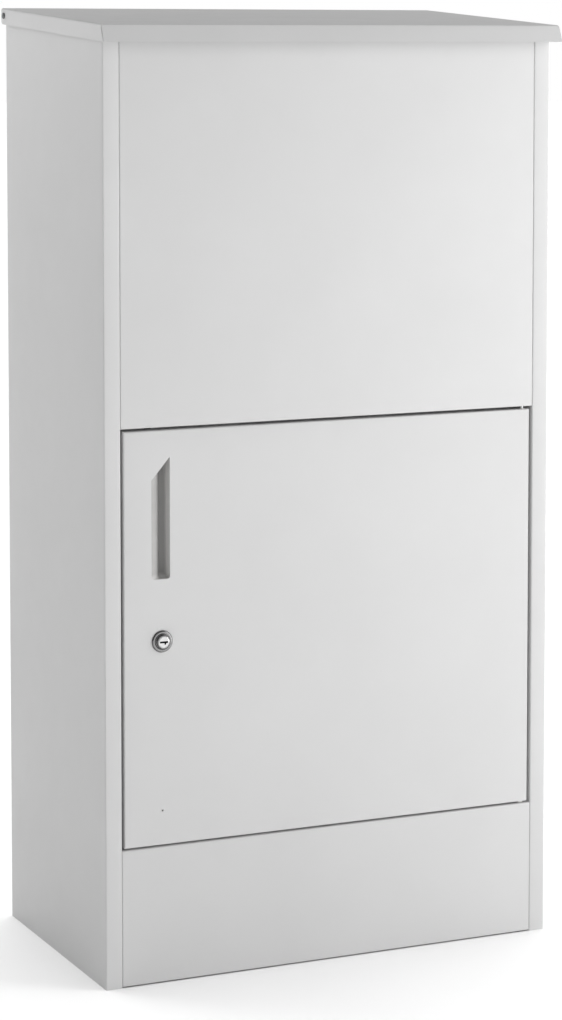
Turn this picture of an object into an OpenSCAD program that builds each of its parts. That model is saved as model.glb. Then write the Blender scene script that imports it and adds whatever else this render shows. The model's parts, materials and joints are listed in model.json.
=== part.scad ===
// Free-standing parcel drop box of folded sheet steel.
// +X is to the right, +Y to the rear and +Z up.
// The origin is the centre of the cabinet's footprint, on the floor.

/* [Cabinet] */
// Width of the cabinet body
body_w = 510; // [490:1:560]
// Depth of the cabinet body
body_d = 288; // [280:1:320]
// Height from the floor to the rear edge of the lid
total_h = 1000; // [980:1:1060]
// Thickness of the folded steel sheet
sheet_t = 1; // [0.8:0.1:1.2]
// Outside radius of a sheet bend
bend_r = 1.5; // [1.4:0.1:1.8]
// Width of each front corner post
post_w = 18; // [17:0.5:20]
// Depth of each front corner post
post_d = 22; // [21:0.5:24]
// Width of the flange along each rear edge
rear_flange_w = 22; // [20:1:26]

/* [Front panels] */
// Height of the top edge of the plinth panel
plinth_h = 142.2; // [120:0.1:160]
// Gap between the plinth panel and the floor
plinth_lift = 1.5; // [0:0.1:2]
// Height of the bottom edge of the fixed upper panel
upper_z = 574.3; // [540:0.1:600]
// Depth of the flanges round the fixed panels
panel_flange = 20; // [19:0.5:21]
// Height of the lip behind the top and bottom edges of the door
stop_lip = 10; // [8:0.5:12]

/* [Door] */
// Gap above the door
gap_top = 3; // [2:0.1:4]
// Gap below the door
gap_bottom = 2; // [1.6:0.1:3]
// Gap at the lock side of the door
gap_left = 3; // [2:0.1:4]
// Gap at the hinge side of the door
gap_right = 3.6; // [3:0.1:4]
// Depth of the door pan
door_d = 16; // [15:0.5:17]
// Distance from the right post to the hinge axis
hinge_in = 10; // [9.5:0.1:12]
// Distance from the front face to the hinge axis
hinge_back = 6; // [5.8:0.1:6.4]
// Radius of the door hinge pins
hinge_pin_r = 2; // [1.5:0.1:2.5]

/* [Handle and lock] */
// Distance from the left side of the cabinet to the lock axis
lock_in = 62.5; // [58:0.5:70]
// Height of the lock axis
lock_z = 355; // [330:1:380]
// Width of the finger pull
pull_w = 20.2; // [18:0.1:24]
// Height of the bottom edge of the finger pull
pull_z = 419; // [400:1:440]
// Height of the finger pull at its long side
pull_h = 125; // [100:1:140]
// Drop of the slanted top edge of the finger pull
pull_slant = 23.5; // [10:0.5:30]
// Depth of the moulding behind the finger pull
pull_depth = 16; // [12:0.5:17]
// Reach of the lock cam from the lock axis to its tip
cam_reach = 52; // [50:1:56]

/* [Lid] */
// Overhang of the lid past each side of the cabinet
lid_overhang = 5; // [4.5:0.1:6]
// Length of the lid's top from the rear edge to the front fold
lid_len = 300; // [296:1:330]
// Slope of the lid down to the front
lid_slope = 3.573; // [3:0.1:4]
// Height of the lid's skirts, square to its top
skirt_h = 17.2; // [15:0.1:20]
// Outside radius of the lid's bends
lid_bend_r = 2.5; // [1.5:0.1:3]
// Radius of the rear lower corners of the lid's skirts
skirt_corner_r = 5; // [2:0.5:6]
// Flare of the front skirt, from square to the lid's top
flare = 27; // [20:1:30]
// Distance from the rear of the cabinet to the lid pivot
lid_pivot_in = 9; // [8.5:0.1:10]
// Depth of the lid pivot below the lid's rear edge
lid_pivot_drop = 8.3; // [8:0.1:9]
// Radius of the lid pivot pins
lid_pin_r = 2.5; // [2:0.1:2.6]

/* [Drop tray] */
// Height of the tray pivot
tray_pivot_z = 606; // [596:1:640]
// Distance from the rear of the cabinet to the tray pivot
tray_pivot_in = 14; // [13.5:0.1:15]
// Length of the tray below its pivot
tray_len = 250; // [200:1:250]
// Height of the tray's heel above its pivot, which meets the back panel
tray_heel = 12.2; // [8:0.1:12.3]
// Length of the cranks on the lid and on the tray
crank_r = 60; // [50:1:64]
// Angle of the cranks below level when the lid is shut
crank_drop = 20; // [15:1:25]
// Radius of the link pins
link_pin_r = 3; // [2.5:0.1:3.5]

/* [Mounting holes] */
// Radius of the wall fixing holes
wall_hole_r = 4.25; // [3:0.05:5]
// Distance between the wall fixing holes, side to side
wall_pitch_x = 300; // [200:10:400]
// Distance between the wall fixing holes, up and down
wall_pitch_z = 600; // [500:10:620]
// Height of the middle of the wall fixing holes
wall_mid_z = 530; // [500:5:560]
// Radius of the floor anchor holes
anchor_hole_r = 4.5; // [3:0.1:6]
// Distance between the floor anchor holes, side to side
anchor_pitch_x = 380; // [300:10:400]
// Distance between the floor anchor holes, front to rear
anchor_pitch_y = 180; // [120:10:190]

/* [Hidden] */
$fn = 48;

paint = [0.86, 0.86, 0.85];
inner_paint = [0.72, 0.72, 0.71];
zinc = [0.62, 0.63, 0.64];
chrome = [0.8, 0.81, 0.82];
nylon = [0.9, 0.9, 0.87];
rubber = [0.12, 0.12, 0.12];
grey_plastic = [0.5, 0.49, 0.47];

// Clearances: between moving parts, round a turning pin, and a cut's overrun
gap = 0.3;
fit = 0.05;
over = 1;
bend_steps = 6;
rivet_r = 2;

// Cabinet faces
side_x = body_w / 2;
front_y = -body_d / 2;
rear_y = body_d / 2;
post_x = side_x - post_w;
post_back_y = front_y + post_d;
back_front_y = rear_y - 2 * sheet_t;
back_top_z = total_h - 22;
panel_top_z = total_h - 21.5;

// Lid
lid_half = side_x + lid_overhang;
lid_clear = 2;
pivot_y = rear_y - lid_pivot_in;
pivot_z = total_h - lid_pivot_drop;
notch_y = pivot_y + 4.2;
notch_z = total_h - 18;
lid_buffer_x = 150;

// Door
door_x0 = -post_x + gap_left;
door_x1 = post_x - gap_right;
door_z0 = plinth_h + gap_bottom;
door_z1 = upper_z - gap_top;
skin_in_y = front_y + sheet_t;
hinge_x = post_x - hinge_in;
hinge_y = front_y + hinge_back;
lip_y = front_y + panel_flange + 0.5;
lip_start_y = front_y + 5;
lip_half = post_x - sheet_t / 2;
collar_r = 3.5;
pull_x0 = -side_x + 51.3;
pull_x1 = pull_x0 + pull_w;
cup_wall = 2;
lock_x = -side_x + lock_in;

// Lock, along its axis from the door's face
barrel_r = 9;
barrel_back = -22.2;
cam_front = -22.5;
cam_t = 2.5;
plug_r = 6;
plug_tail = 7;
cam_screw_r = 1.5;
cam_screw_len = 7;

// Layers beside the side panels, measured from the middle of the cabinet
arm_in = side_x - 12.5;
arm_t = 3;
arm_out = arm_in + arm_t;
rod_in = arm_out + 0.5;
rod_t = 3;
rod_out = rod_in + rod_t;
bracket_t = 3;
panel_in = side_x - sheet_t;
link_head_t = 2;
crank_w = 16;
rod_w = 14;

// Tray
tray_y = rear_y - tray_pivot_in;
tray_face_y = tray_y - 8;
tray_flange = 13;
tray_flange_top = tray_pivot_z - 15;
tray_pin_r = 4;
tray_collar_r = 6.5;

// Crank pin positions at rest, as [y, z]
crank_pin = [-crank_r * cos(crank_drop), -crank_r * sin(crank_drop)];
upper_pin = [pivot_y, pivot_z] + crank_pin;
lower_pin = [tray_y, tray_pivot_z] + crank_pin;

// Heights of the fasteners
panel_rivet_z = [36, 106, 612, 730, 848, 948];
panel_rivet_y = front_y + 12;
screw_z = [60, 290, 500, 750, 950];
screw_x = side_x - 11;
screw_r = 2;
tray_rivet_z = [tray_pivot_z - 71, tray_pivot_z - 31];
tray_rivet_y = tray_y - 1;

// ---- Folded sheet ----

function unit(v) = v / norm(v);
function right_of(v) = [v[1], -v[0]];
function turn_side(u, v) = sign(u[0] * v[1] - u[1] * v[0]);

// Points round corner b of a path a-b-c, on the path moved "off" to its right
function bend(a, b, c, r, off) =
    let (
        u = unit(a - b),
        v = unit(c - b),
        half = acos(u * v) / 2,
        centre = b + unit(u + v) * r / sin(half),
        side = turn_side(b - a, c - b),
        radius = r + side * off,
        start = side * right_of(-u),
        sweep = side * (180 - 2 * half)
    )
    [for (i = [0:bend_steps])
        let (k = sweep * i / bend_steps)
        centre + radius * [
            start[0] * cos(k) - start[1] * sin(k),
            start[0] * sin(k) + start[1] * cos(k)
        ]];

function side_line(path, r, off) =
    let (last = len(path) - 1)
    concat(
        [path[0] + off * right_of(unit(path[1] - path[0]))],
        [for (i = [1:last - 1]) each bend(path[i - 1], path[i], path[i + 1], r, off)],
        [path[last] + off * right_of(unit(path[last] - path[last - 1]))]
    );

function reversed(list) = [for (i = [len(list) - 1:-1:0]) list[i]];

// Section of a sheet whose outer surface follows the path, with the metal to its right
module folded(path) {
    polygon(concat(side_line(path, bend_r, 0), reversed(side_line(path, bend_r, sheet_t))));
}

// Filled section bounded by a path with rounded corners, moved "off" to its right
module filled(path, off, r = bend_r) {
    polygon(side_line(path, r, off));
}

// A section drawn as [y, z], extruded along X
module along_x(x0, x1) {
    translate([x0, 0, 0])
        rotate([90, 0, 90])
            linear_extrude(x1 - x0)
                children();
}

// A section drawn as [x, z], extruded along Y
module along_y(y0, y1) {
    translate([0, y1, 0])
        rotate([90, 0, 0])
            linear_extrude(y1 - y0)
                children();
}

// A section drawn as [x, y], extruded along Z
module along_z(z0, z1) {
    translate([0, 0, z0])
        linear_extrude(z1 - z0)
            children();
}

module rod_x(x0, x1, r, y, z) {
    along_x(x0, x1)
        translate([y, z])
            circle(r);
}

module rod_y(y0, y1, r, x, z) {
    along_y(y0, y1)
        translate([x, z])
            circle(r);
}

module rod_z(z0, z1, r, x, y) {
    along_z(z0, z1)
        translate([x, y])
            circle(r);
}

// The same child at the left and, mirrored, at the right
module both_sides() {
    children();
    mirror([1, 0, 0])
        children();
}

// The lid's own frame: its origin is the middle of the rear top edge
module in_lid_frame() {
    translate([0, rear_y, total_h])
        rotate([lid_slope, 0, 0])
            children();
}

// Everything above a plane parallel to the lid's top, "down" below it
module above_lid_plane(down) {
    in_lid_frame()
        translate([-body_w, -2 * body_d, -down])
            cube([2 * body_w, 3 * body_d, body_w]);
}

// A flat bar between two points, with round ends
module bar(p, q, w) {
    turn = atan2(q[1] - p[1], q[0] - p[0]);
    polygon([for (end = [[p, 90], [q, 270]], a = [0:9:180])
        end[0] + w / 2 * [cos(end[1] + a + turn), sin(end[1] + a + turn)]]);
}

// ---- Cabinet ----

module side_panel() {
    post_return = side_x - 6;
    difference() {
        along_z(0, total_h)
            folded([
                [-post_return, post_back_y],
                [-post_x, post_back_y],
                [-post_x, front_y],
                [-side_x, front_y],
                [-side_x, rear_y],
                [-side_x + rear_flange_w, rear_y]
            ]);
        above_lid_plane(sheet_t + lid_clear);
        translate([-side_x - over, notch_y, notch_z])
            cube([rear_flange_w + 2 * over, body_d, body_w]);
        rod_x(-side_x - over, -panel_in + over, lid_pin_r, pivot_y, pivot_z);
        for (z = panel_rivet_z)
            rod_x(-post_x - sheet_t - over, -post_x + over, rivet_r, panel_rivet_y, z);
        for (z = screw_z)
            rod_y(back_front_y, rear_y + over, screw_r, -screw_x, z);
    }
}

module side_panel_left() {
    color(paint)
        side_panel();
}

module side_panel_right() {
    color(paint)
        mirror([1, 0, 0])
            side_panel();
}

// Rear sheet, stepped forward under the lid's pivot to close the gap behind it
module back_panel() {
    half = side_x - 5;
    upstand_y = pivot_y - 11;
    color(paint)
        difference() {
            along_x(-half, half)
                folded([
                    [upstand_y, total_h],
                    [upstand_y, back_top_z],
                    [rear_y - sheet_t, back_top_z],
                    [rear_y - sheet_t, 0]
                ]);
            above_lid_plane(sheet_t + lid_clear);
            for (x = [-1, 1], z = [-1, 1])
                rod_y(back_front_y - over, rear_y, wall_hole_r,
                    x * wall_pitch_x / 2, wall_mid_z + z * wall_pitch_z / 2);
            for (x = [-1, 1], z = screw_z)
                rod_y(back_front_y - over, rear_y, screw_r, x * screw_x, z);
        }
}

module base_panel() {
    flange_h = 20;
    end_gap = 1.5;
    set_back = 6;
    color(inner_paint)
        difference() {
            union() {
                along_y(post_back_y, back_front_y)
                    folded([
                        [panel_in, flange_h],
                        [panel_in, 0],
                        [-panel_in, 0],
                        [-panel_in, flange_h]
                    ]);
                translate([-post_x + end_gap, skin_in_y + set_back, 0])
                    cube([2 * (post_x - end_gap), post_d - set_back, sheet_t]);
                translate([-panel_in + end_gap, back_front_y - sheet_t, 0])
                    cube([2 * (panel_in - end_gap), sheet_t, flange_h]);
            }
            for (x = [-1, 1], y = [-1, 1])
                rod_z(-over, sheet_t + over, anchor_hole_r,
                    x * anchor_pitch_x / 2, y * anchor_pitch_y / 2);
        }
}

// A block behind the front face with rounded front edges, moved in by "off" all round
module pan_block(x0, x1, z0, z1, depth, off) {
    back = front_y + depth;
    intersection() {
        along_z(z0 - over, z1 + over)
            filled([[x1, back], [x1, front_y], [x0, front_y], [x0, back]], off);
        along_x(x0 - over, x1 + over)
            filled([[back, z0], [front_y, z0], [front_y, z1], [back, z1]], off);
    }
}

// A folded pan, open to the rear, with its face on the front of the cabinet
module pan(x0, x1, z0, z1, depth) {
    difference() {
        pan_block(x0, x1, z0, z1, depth, 0);
        pan_block(x0, x1, z0, z1, depth + 10, sheet_t);
    }
}

module panel_rivet_holes() {
    for (x = [-1, 1], z = panel_rivet_z)
        rod_x(x * post_x - 2 * over, x * post_x + 2 * over, rivet_r, panel_rivet_y, z);
}

module upper_front_panel() {
    color(paint)
        difference() {
            union() {
                pan(-post_x, post_x, upper_z, panel_top_z, panel_flange);
                along_x(-lip_half, lip_half)
                    folded([
                        [lip_y, upper_z - stop_lip],
                        [lip_y, upper_z],
                        [lip_start_y, upper_z]
                    ]);
            }
            panel_rivet_holes();
            rod_z(upper_z - over, upper_z + sheet_t + over, hinge_pin_r, hinge_x, hinge_y);
        }
}

module plinth_panel() {
    color(paint)
        difference() {
            union() {
                pan(-post_x, post_x, -body_d, plinth_h, panel_flange);
                along_x(-lip_half, lip_half)
                    folded([
                        [lip_start_y, plinth_h],
                        [lip_y, plinth_h],
                        [lip_y, plinth_h + stop_lip]
                    ]);
            }
            translate([-body_w, -body_d, plinth_lift - 2 * body_d])
                cube([2 * body_w, 2 * body_d, 2 * body_d]);
            panel_rivet_holes();
            rod_z(plinth_h - sheet_t - over, plinth_h + over, hinge_pin_r, hinge_x, hinge_y);
        }
}

// Blind rivets through the posts and the side flanges of the front panels
module panel_rivets() {
    head_r = 3.6;
    color(zinc)
        both_sides()
            for (z = panel_rivet_z) {
                rod_x(post_x - sheet_t - 1.2, post_x - sheet_t, head_r, panel_rivet_y, z);
                rod_x(post_x - sheet_t, post_x + sheet_t, rivet_r, panel_rivet_y, z);
                rod_x(post_x + sheet_t, post_x + sheet_t + 2, 2.8, panel_rivet_y, z);
            }
}

// Pan-head screws that hold the back panel, with their heads inside
module cabinet_screws() {
    head_h = 2.4;
    color(zinc)
        both_sides()
            for (z = screw_z) {
                difference() {
                    rod_y(back_front_y - head_h, back_front_y, 4, screw_x, z);
                    for (turn = [0, 90])
                        translate([screw_x, back_front_y - head_h, z])
                            rotate([0, turn, 0])
                                cube([4.6, 2.6, 0.9], center = true);
                }
                rod_y(back_front_y, rear_y, screw_r, screw_x, z);
            }
}

module lid_buffers() {
    color(rubber)
        both_sides()
            rod_z(panel_top_z, panel_top_z + 2.4, 5, lid_buffer_x, front_y + panel_flange / 2 + 1);
}

// ---- Lid pivot ----

module lid_pivot_pins() {
    head_in = lid_half + gap;
    color(zinc)
        both_sides() {
            rod_x(panel_in - 4, head_in, lid_pin_r, pivot_y, pivot_z);
            translate([head_in, pivot_y, pivot_z])
                rotate([0, 90, 0])
                    rotate_extrude()
                        polygon([[0, 0], [3.3, 0], [3.3, 0.9], [2.9, 1.6], [1.9, 2.1], [0, 2.3]]);
        }
}

module lid_pivot_spacers() {
    color(nylon)
        both_sides()
            difference() {
                rod_x(side_x, lid_half - sheet_t - gap, 5.5, pivot_y, pivot_z);
                rod_x(side_x - over, lid_half, lid_pin_r, pivot_y, pivot_z);
            }
}

module lid_pivot_nuts() {
    color(zinc)
        both_sides()
            difference() {
                along_x(panel_in - 3.4, panel_in)
                    translate([pivot_y, pivot_z])
                        circle(4.6, $fn = 6);
                rod_x(panel_in - 5, panel_in + over, lid_pin_r, pivot_y, pivot_z);
            }
}

// ---- Lid ----

// A block under the lid's top, with the flared front, moved in by "off" all round
module lid_block(off, rear) {
    deep = 3 * skirt_h;
    intersection() {
        along_y(-lid_len - deep, rear)
            filled(
                [[-lid_half, -deep], [-lid_half, 0], [lid_half, 0], [lid_half, -deep]],
                off, lid_bend_r
            );
        along_x(-lid_half - over, lid_half + over)
            filled([
                [-lid_len - deep * tan(flare), -deep],
                [-lid_len, 0],
                [deep, 0],
                [deep, -deep]
            ], off, lid_bend_r);
    }
}

// What is cut away to round the rear lower corners of the skirts, as [y, z] in the lid's frame
module skirt_corner_cut() {
    r = skirt_corner_r;
    centre_z = r - skirt_h;
    centre_y = (centre_z * sin(lid_slope) - r) / cos(lid_slope);
    corner_steps = 8;
    sweep = 90 - lid_slope;
    polygon(concat(
        [for (i = [0:corner_steps])
            let (a = -90 + sweep * i / corner_steps)
            [centre_y + r * cos(a), centre_z + r * sin(a)]],
        [
            [centre_y + 3 * r, centre_z - r * sin(lid_slope)],
            [centre_y + 3 * r, centre_z - 3 * r],
            [centre_y, centre_z - 3 * r]
        ]
    ));
}

// Top, skirts and flared front in one sheet, with an open seam at each front corner
module lid_shell() {
    seam_w = 2.2;
    seam_top = -lid_bend_r;
    seam_bottom = -2 * skirt_h;
    function seam_y(z, w) = -lid_len + z * tan(flare) + (sheet_t + w) / cos(flare);
    color(paint)
        difference() {
            in_lid_frame()
                difference() {
                    lid_block(0, 0);
                    lid_block(sheet_t, over);
                    translate([-body_w, -2 * body_d, -skirt_h - body_w])
                        cube([2 * body_w, 3 * body_d, body_w]);
                    along_x(-lid_half - over, lid_half + over)
                        polygon([
                            [seam_y(seam_top, 0), seam_top],
                            [seam_y(seam_top, seam_w), seam_top],
                            [seam_y(seam_bottom, seam_w), seam_bottom],
                            [seam_y(seam_bottom, 0), seam_bottom]
                        ]);
                    along_x(-lid_half - over, lid_half + over)
                        skirt_corner_cut();
                }
            rod_x(-lid_half - over, lid_half + over, lid_pin_r + fit, pivot_y, pivot_z);
            translate([-body_w, rear_y, 0])
                cube([2 * body_w, body_d, 2 * total_h]);
        }
}

// Hat-section rib across the underside of the lid
module lid_stiffener() {
    middle = -lid_len / 2;
    under = -sheet_t;
    color(inner_paint)
        in_lid_frame()
            along_x(-side_x + 32, side_x - 32)
                folded([
                    [middle - 35, under],
                    [middle - 22, under],
                    [middle - 18, under - 10],
                    [middle + 18, under - 10],
                    [middle + 22, under],
                    [middle + 35, under]
                ]);
}

// Angle brackets under the lid, whose upright legs are the lid's cranks
module lid_link_tabs() {
    foot_w = 16;
    foot_t = 2;
    y0 = upper_pin[0] - 19;
    y1 = upper_pin[0] + 19;
    color(zinc)
        both_sides()
            difference() {
                union() {
                    along_x(arm_in, arm_out) {
                        translate(upper_pin)
                            circle(crank_w / 2);
                        polygon([
                            [y0, total_h - 5],
                            [y1, total_h - 5],
                            upper_pin + [crank_w / 2, 0],
                            upper_pin - [crank_w / 2, 0]
                        ]);
                    }
                    in_lid_frame()
                        translate([arm_in - foot_w, y0 - rear_y, -sheet_t - foot_t])
                            cube([foot_w + arm_t, y1 - y0, foot_t]);
                }
                above_lid_plane(sheet_t);
                rod_x(arm_in - over, arm_out + over, link_pin_r, upper_pin[0], upper_pin[1]);
            }
}

// ---- Links ----

module link_pins(pin) {
    color(zinc)
        both_sides() {
            rod_x(arm_in, rod_out + gap, link_pin_r, pin[0], pin[1]);
            rod_x(rod_out + gap, rod_out + gap + link_head_t, link_pin_r + 2, pin[0], pin[1]);
        }
}

module link_pins_upper() {
    link_pins(upper_pin);
}

module link_pins_lower() {
    link_pins(lower_pin);
}

// Flat bar with a running eye on the lid's pin and a loose eye on the tray's pin
module link_rod() {
    loose = 0.4;
    color(zinc)
        difference() {
            along_x(rod_in, rod_out)
                bar(upper_pin, lower_pin, rod_w);
            rod_x(rod_in - over, rod_out + over, link_pin_r + fit, upper_pin[0], upper_pin[1]);
            rod_x(rod_in - over, rod_out + over, link_pin_r + loose, lower_pin[0], lower_pin[1]);
        }
}

module link_rod_left() {
    mirror([1, 0, 0])
        link_rod();
}

module link_rod_right() {
    link_rod();
}

// ---- Drop tray ----

// Plate that hangs along the back panel, with a heel above the pivot
module drop_tray() {
    bottom = tray_pivot_z - tray_len;
    back = tray_face_y + tray_flange;
    flat_half = arm_in - bend_r;
    color(paint)
        difference() {
            union() {
                along_z(bottom, tray_flange_top)
                    folded([
                        [arm_in, back],
                        [arm_in, tray_face_y],
                        [-arm_in, tray_face_y],
                        [-arm_in, back]
                    ]);
                translate([-flat_half, tray_face_y, tray_flange_top])
                    cube([2 * flat_half, sheet_t, tray_pivot_z + tray_heel - tray_flange_top]);
                translate([-flat_half, tray_face_y + sheet_t, bottom])
                    cube([2 * flat_half, tray_flange - sheet_t, sheet_t]);
            }
            for (x = [-1, 1], z = tray_rivet_z)
                rod_x(x * arm_in - 2 * over, x * arm_in + 2 * over, rivet_r, tray_rivet_y, z);
        }
}

module tray_crank_arms() {
    foot_h = 88;
    color(zinc)
        both_sides()
            difference() {
                along_x(arm_in, arm_out) {
                    bar([tray_y, tray_pivot_z], lower_pin, crank_w);
                    translate([tray_face_y + 1, tray_pivot_z - foot_h])
                        square([tray_flange - 2, foot_h]);
                }
                rod_x(arm_in - over, arm_out + over, tray_pin_r + fit, tray_y, tray_pivot_z);
                rod_x(arm_in - over, arm_out + over, link_pin_r, lower_pin[0], lower_pin[1]);
                for (z = tray_rivet_z)
                    rod_x(arm_in - over, arm_out + over, rivet_r, tray_rivet_y, z);
            }
}

module tray_rivets() {
    color(zinc)
        both_sides()
            for (z = tray_rivet_z) {
                rod_x(arm_in - sheet_t - 1.4, arm_in - sheet_t, 3.4, tray_rivet_y, z);
                rod_x(arm_in - sheet_t, arm_out, rivet_r, tray_rivet_y, z);
            }
}

module tray_hinge_brackets() {
    depth = 34;
    height = 44;
    color(zinc)
        both_sides()
            difference() {
                translate([panel_in - bracket_t, tray_y + 10 - depth, tray_pivot_z - height / 2])
                    cube([bracket_t, depth, height]);
                rod_x(panel_in - bracket_t - over, panel_in + over, tray_pin_r, tray_y, tray_pivot_z);
            }
}

module tray_pivot_pins() {
    color(zinc)
        both_sides() {
            rod_x(arm_in - 2.4, panel_in, tray_pin_r, tray_y, tray_pivot_z);
            rod_x(arm_out + gap, panel_in - bracket_t, tray_collar_r, tray_y, tray_pivot_z);
        }
}

module tray_pin_clips() {
    x0 = arm_in - 1.7;
    mouth_w = 3.6;
    color(zinc)
        both_sides()
            difference() {
                rod_x(x0, arm_in - gap, tray_collar_r, tray_y, tray_pivot_z);
                rod_x(x0 - over, arm_in + over, tray_pin_r, tray_y, tray_pivot_z);
                translate([x0 - over, tray_y - mouth_w / 2, tray_pivot_z - 2 * tray_pin_r])
                    cube([bracket_t + over, mouth_w, 1.25 * tray_pin_r]);
            }
}

module tray_buffers() {
    back = tray_face_y + tray_flange + gap;
    buffer_r = 6;
    color(rubber)
        both_sides()
            rod_y(back, back_front_y, buffer_r, arm_in - 5, tray_pivot_z - tray_len + 25);
}

// ---- Door ----

// Outline of the finger pull as [x, z], with its side edges and bottom edge moved out
module pull_outline(left, right, bottom, top) {
    r = 3;
    margin = 10;
    x0 = pull_x0 - left;
    x1 = pull_x1 + right;
    z0 = pull_z - bottom;
    slope = pull_slant / pull_w;
    difference() {
        union() {
            translate([x0, z0 + r])
                square([x1 - x0, pull_h + top + bottom + right * slope]);
            translate([x0 + r, z0])
                square([x1 - x0 - 2 * r, 2 * r]);
            translate([x0 + r, z0 + r])
                circle(r);
            translate([x1 - r, z0 + r])
                circle(r);
        }
        polygon([
            [x0 - margin, pull_z + pull_h + top - slope * (pull_x1 - x0 + margin)],
            [x1 + margin, pull_z + pull_h + top + slope * (x1 + margin - pull_x1)],
            [x1 + margin, pull_z + 2 * pull_h],
            [x0 - margin, pull_z + 2 * pull_h]
        ]);
    }
}

module door_skin() {
    coating_hole_z = 180;
    coating_hole_r = 1;
    color(paint)
        difference() {
            pan(door_x0, door_x1, door_z0, door_z1, door_d);
            along_y(front_y - over, skin_in_y + over / 2)
                pull_outline(0, 0, 0, 0);
            rod_y(front_y - over, skin_in_y + over, barrel_r, lock_x, lock_z);
            rod_y(front_y - over, skin_in_y + over, coating_hole_r, lock_x, coating_hole_z);
            for (z = [door_z0, door_z1])
                rod_z(z - 1.5 * sheet_t, z + 1.5 * sheet_t, collar_r, hinge_x, hinge_y);
        }
}

module door_stiffener() {
    end_gap = 3;
    top = skin_in_y + 12;
    color(inner_paint)
        along_z(door_z0 + end_gap, door_z1 - end_gap)
            folded([
                [35, skin_in_y],
                [24, skin_in_y],
                [20, top],
                [-20, top],
                [-24, skin_in_y],
                [-35, skin_in_y]
            ]);
}

// Two pins with heads inside the fixed panels
module door_hinge_pins() {
    reach = 17;
    head_r = 4;
    head_h = 2;
    color(zinc) {
        rod_z(upper_z - reach, upper_z + sheet_t, hinge_pin_r, hinge_x, hinge_y);
        rod_z(upper_z + sheet_t, upper_z + sheet_t + head_h, head_r, hinge_x, hinge_y);
        rod_z(plinth_h - sheet_t, plinth_h + reach, hinge_pin_r, hinge_x, hinge_y);
        rod_z(plinth_h - sheet_t - head_h, plinth_h - sheet_t, head_r, hinge_x, hinge_y);
    }
}

// Nylon bearings in the door's corners; the lower one's collar carries the door
module door_hinge_blocks() {
    height = 14;
    depth = 11.5;
    x0 = hinge_x - 9;
    x1 = door_x1 - sheet_t;
    y0 = skin_in_y + bend_r - sheet_t;
    color(nylon)
        difference() {
            union() {
                translate([x0, y0, door_z1 - sheet_t - height])
                    cube([x1 - x0, depth, height]);
                rod_z(door_z1 - sheet_t - over, door_z1 + 0.4, collar_r, hinge_x, hinge_y);
                translate([x0, y0, door_z0 + sheet_t])
                    cube([x1 - x0, depth, height]);
                rod_z(plinth_h + gap, door_z0 + sheet_t + over, collar_r, hinge_x, hinge_y);
            }
            rod_z(0, upper_z + 10, hinge_pin_r + fit, hinge_x, hinge_y);
        }
}

module door_buffers() {
    back = front_y + door_d + 0.4;
    inset = 5.2;
    buffer_r = 4;
    color(rubber)
        for (z = [upper_z - inset, plinth_h + inset])
            rod_y(back, lip_y, buffer_r, door_x0 + 34, z);
}

// Section of the moulded recess as [x, y], moved out by "off": a slope, a floor and a straight wall
module cup_section(off, front) {
    slope_w = 13.5;
    wall_gap = 0.5;
    floor_y = front_y + pull_depth - cup_wall + off;
    right_x = pull_x1 + wall_gap + off;
    polygon([
        [pull_x0 - off, front],
        [pull_x0 - off, skin_in_y + off],
        [pull_x0 + slope_w - off / 2, floor_y],
        [right_x, floor_y],
        [right_x, front]
    ]);
}

module cup_block(off, front) {
    intersection() {
        along_y(front, front_y + pull_depth)
            pull_outline(off, 2 * off, off, off);
        along_z(pull_z - pull_slant, pull_z + 2 * pull_h)
            cup_section(off, front);
    }
}

// Moulded recess behind the finger pull, bonded to the door by its flange
module handle_cup() {
    flange_w = 5;
    flange_t = 1.5;
    color(grey_plastic)
        difference() {
            union() {
                cup_block(cup_wall, skin_in_y);
                along_y(skin_in_y, skin_in_y + flange_t)
                    pull_outline(flange_w, flange_w, flange_w, flange_w);
            }
            cup_block(0, skin_in_y - over);
        }
}

// ---- Lock ----

// The lock's own frame: +Z towards the front, from the door's face
module in_lock_frame() {
    translate([lock_x, front_y, lock_z])
        rotate([90, 0, 0])
            children();
}

// Barrel with a rounded bead for its bezel, and a boss that stands forward round the plug
module lock_body() {
    bezel_r = 11.4;
    bead_r = 9.2;
    bead_h = 2;
    boss_r = 6.8;
    boss_h = 5.1;
    boss_foot = 0.9;
    edge = 0.3;
    color(chrome)
        in_lock_frame()
            rotate_extrude($fn = 96)
                polygon(concat(
                    [
                        [plug_r + fit, barrel_back],
                        [barrel_r, barrel_back],
                        [barrel_r, 0],
                        [bezel_r, 0]
                    ],
                    [for (a = [15:15:150])
                        [bead_r + (bezel_r - bead_r) * cos(a), bead_h * sin(a)]],
                    [
                        [boss_r, boss_foot],
                        [boss_r, boss_h - edge],
                        [boss_r - edge, boss_h],
                        [plug_r + fit, boss_h]
                    ]
                ));
}

module lock_nut() {
    nut_t = 4;
    corner_r = 13;
    color(zinc)
        in_lock_frame()
            translate([0, 0, -sheet_t - nut_t])
                difference() {
                    cylinder(r = corner_r, h = nut_t, $fn = 6);
                    translate([0, 0, -over])
                        cylinder(r = barrel_r, h = nut_t + 2 * over);
                }
}

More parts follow.
